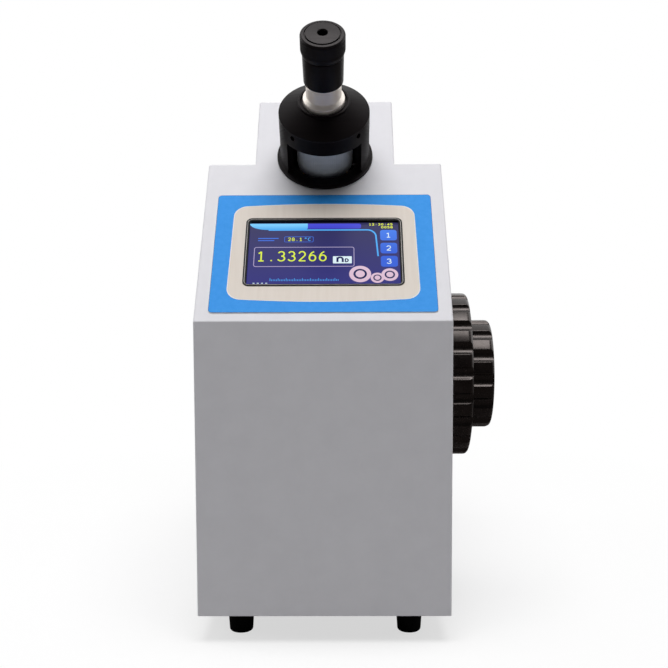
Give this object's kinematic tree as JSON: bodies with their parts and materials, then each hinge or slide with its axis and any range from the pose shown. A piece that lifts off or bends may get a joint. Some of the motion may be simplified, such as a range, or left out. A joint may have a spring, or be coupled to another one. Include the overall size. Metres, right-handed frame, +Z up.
{
  "type": "benchtop refractometer",
  "caption": "Painted casing with a sloping touch display, an oblique eyepiece tower with a dispersion drum, coaxial handwheels and a hinged prism table.",
  "frame": {"origin": "centre of the whole part's footprint box, level with the soles of the feet", "axes": "+Z up, +Y from the display towards the rear panel, +X towards the handwheels"},
  "size_m": [0.186, 0.33, 0.3808],
  "materials": {
    "casing_paint": "fine-textured light grey powder coat",
    "rear_paint": "fine-textured light grey powder coat",
    "zinc_steel": "bright zinc-plated sheet",
    "screw_steel": "nickel-plated screws",
    "foot_rubber": "matt black rubber",
    "overlay_film": "printed polyester film, blue border",
    "bezel_black": "satin black",
    "cover_glass": "clear cover glass",
    "lcd_panel": "lit display",
    "board_green": "solder mask",
    "brass": "turned brass",
    "black_anodised": "black anodised",
    "drum_aluminium": "fine-knurled satin aluminium",
    "silver_aluminium": "bright turned aluminium",
    "optical_glass": "polished",
    "mirror_glass": "front-silvered",
    "cast_frame": "sand-cast, as cast",
    "turned_steel": "ground steel",
    "wheel_black": "moulded phenolic",
    "prism_metal": "satin nickel plate",
    "lamp_black": "satin black",
    "inlet_plastic": "moulded nylon",
    "rocker_plastic": "moulded ABS",
    "port_shell": "tin-plated shell"
  },
  "bodies": {
    "root": {"base_plate": "zinc_steel", "main_cover": "casing_paint", "rear_cover": "rear_paint", "front_left_foot": "foot_rubber", "front_right_foot": "foot_rubber", "rear_left_foot": "foot_rubber", "rear_right_foot": "foot_rubber", "casing_screws": "screw_steel", "panel_overlay": "overlay_film", "display_bezel": "bezel_black", "touch_glass": "cover_glass", "lcd_module": "lcd_panel", "display_board": "board_green", "board_standoffs": "brass", "tower_cage": "black_anodised", "tower_cap": "black_anodised", "cap_set_screws": "turned_steel", "tower_housing": "black_anodised", "idler_pin": "black_anodised", "objective_lens": "optical_glass", "eyepiece_neck": "silver_aluminium", "eyepiece_sleeve": "black_anodised", "reticle": "optical_glass", "optical_carriage": "cast_frame", "fold_mirror": "mirror_glass", "handwheel_bush": "brass", "refracting_prism_box": "prism_metal", "refracting_prism": "optical_glass", "lower_hose_nipples": "prism_metal", "prism_hinge_pin": "turned_steel", "temperature_probe": "turned_steel", "lamp_post": "prism_metal", "main_board": "board_green", "power_supply": "zinc_steel", "power_inlet": "inlet_plastic", "switch_housing": "inlet_plastic", "serial_port": "port_shell"},
    "coarse_drive": {"coarse_handwheel": "wheel_black", "coarse_shaft": "turned_steel"},
    "fine_drive": {"fine_handwheel": "wheel_black", "fine_shaft": "turned_steel"},
    "scan_drive": {"scan_shaft": "turned_steel", "scan_mirror": "mirror_glass", "encoder_disc": "optical_glass", "sector_gear": "brass"},
    "compensator": {"compensator_drum": "drum_aluminium", "drum_prism": "optical_glass"},
    "counter_cell": {"counter_cell": "brass", "counter_prism": "optical_glass"},
    "idler": {"idler_pinion": "black_anodised"},
    "eye_lens_cell": {"lens_cell": "black_anodised", "eye_lens": "optical_glass"},
    "focus_head": {"eyepiece_head": "black_anodised"},
    "prism_lid": {"illuminating_prism_box": "prism_metal", "illuminating_prism": "optical_glass", "upper_hose_nipples": "prism_metal"},
    "lid_latch": {"latch_knob": "black_anodised"},
    "lamp": {"lamp_arm": "lamp_black", "lamp_head": "lamp_black"},
    "rocker": {"power_rocker": "rocker_plastic"}
  },
  "joints": [
    {"name": "coarse_wheel_turn", "type": "hinge", "parent": "root", "child": "coarse_drive", "pos_m": [0.06415, -0.09, 0.1568], "axis": [1, 0, 0], "range_deg": [-150, 150]},
    {"name": "fine_wheel_turn", "type": "hinge", "parent": "coarse_drive", "child": "fine_drive", "pos_m": [0.06415, -0.09, 0.1568], "axis": [1, 0, 0], "range_deg": [-750, 750]},
    {"name": "scan_mirror_turn", "type": "hinge", "parent": "root", "child": "scan_drive", "pos_m": [-0.01515, -0.00017, 0.23789], "axis": [1, 0, 0], "range_deg": [-13.6, 13.6]},
    {"name": "compensator_turn", "type": "hinge", "parent": "root", "child": "compensator", "pos_m": [-0.01515, -0.0735, 0.31121], "axis": [0, -0.7071, 0.7071], "continuous": true},
    {"name": "counter_cell_turn", "type": "hinge", "parent": "root", "child": "counter_cell", "pos_m": [-0.01515, -0.04451, 0.28222], "axis": [0, -0.7071, 0.7071], "continuous": true},
    {"name": "idler_turn", "type": "hinge", "parent": "root", "child": "idler", "pos_m": [-0.01515, -0.05653, 0.29424], "axis": [1, 0, 0], "continuous": true},
    {"name": "eye_lens_slide", "type": "slide", "parent": "root", "child": "eye_lens_cell", "axis": [0, -0.7071, 0.7071], "range_m": [0, 0.004]},
    {"name": "focus_head_turn", "type": "hinge", "parent": "eye_lens_cell", "child": "focus_head", "pos_m": [-0.01515, -0.12653, 0.36425], "axis": [0, -0.7071, 0.7071], "range_deg": [0, 720]},
    {"name": "prism_lid_hinge", "type": "hinge", "parent": "root", "child": "prism_lid", "pos_m": [-0.09035, -0.033, 0.24655], "axis": [0, -1, 0], "range_deg": [0, 105]},
    {"name": "lid_latch_turn", "type": "hinge", "parent": "prism_lid", "child": "lid_latch", "pos_m": [-0.07035, -0.053, 0.2548], "axis": [0, 1, 0], "range_deg": [0, 90]},
    {"name": "lamp_arm_swing", "type": "hinge", "parent": "root", "child": "lamp", "pos_m": [-0.07615, 0.021, 0.2828], "axis": [0, 0, 1], "range_deg": [-110, 0]},
    {"name": "power_rocker_tilt", "type": "hinge", "parent": "root", "child": "rocker", "pos_m": [-0.01115, 0.1585, 0.0593], "axis": [1, 0, 0], "range_deg": [0, 16]}
  ],
  "couplings": [
    {"joint": "fine_wheel_turn", "follows": "coarse_wheel_turn", "ratio": 5},
    {"joint": "scan_mirror_turn", "follows": "coarse_wheel_turn", "ratio": -0.09009},
    {"joint": "counter_cell_turn", "follows": "compensator_turn", "ratio": -1},
    {"joint": "idler_turn", "follows": "compensator_turn", "ratio": -2.7143},
    {"joint": "focus_head_turn", "follows": "eye_lens_slide", "rad_per_m": 3141.6}
  ]
}
